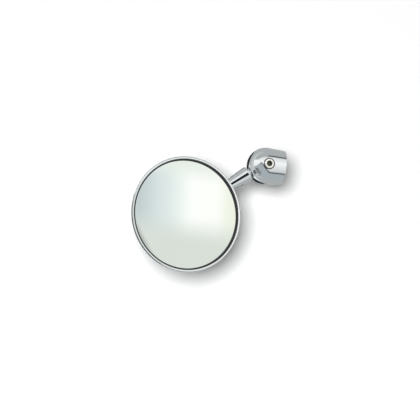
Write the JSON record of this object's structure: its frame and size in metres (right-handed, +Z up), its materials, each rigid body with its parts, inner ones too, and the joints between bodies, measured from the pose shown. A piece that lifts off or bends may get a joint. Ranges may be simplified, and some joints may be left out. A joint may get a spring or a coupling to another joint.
{
  "type": "motorcycle bar end mirror",
  "caption": "Round convex mirror in a chromed bowl on a tapered stem, with a ball joint behind the glass and a domed clamp that slips over the end of a handlebar.",
  "frame": {"origin": "on the axis of the clamp's bore, at its open mouth", "axes": "+X along the bore out of its mouth, towards the handlebar; -Y towards the rider, the way the glass faces; +Z up"},
  "size_m": [0.125, 0.0438, 0.1109],
  "materials": {
    "chrome": "polished chrome plate",
    "screw_steel": "plain bright steel",
    "bright_steel": "ground steel",
    "nylon": "natural nylon",
    "black_rubber": "satin black",
    "mirror": "silvered on the back",
    "foam": "closed-cell foam"
  },
  "bodies": {
    "clamp": {"bar_clamp": "chrome", "clamp_screw": "screw_steel", "lock_screw": "screw_steel"},
    "stem": {"stem": "chrome", "ball_stud": "bright_steel"},
    "liner": {"ball_liner": "nylon"},
    "mirror_head": {"mirror_shell": "chrome", "bezel_ring": "chrome", "glass_seal": "black_rubber", "mirror_glass": "mirror", "glass_pad": "foam", "socket_nut": "bright_steel", "seat_cup": "nylon", "disc_springs": "bright_steel"}
  },
  "joints": [
    {"name": "stem_swivel", "type": "hinge", "parent": "clamp", "child": "stem", "pos_m": [-0.01785, 0, 0], "axis": [-0.7934, 0, -0.6088], "continuous": true},
    {"name": "mirror_tilt", "type": "hinge", "parent": "stem", "child": "liner", "pos_m": [-0.05903, 0, -0.03159], "axis": [-0.6058, -0.0992, 0.7894], "range_deg": [-15, 15]},
    {"name": "mirror_swing", "type": "hinge", "parent": "liner", "child": "mirror_head", "pos_m": [-0.05903, 0, -0.03159], "axis": [0.1616, -0.9869, 0], "range_deg": [-15, 15]}
  ]
}
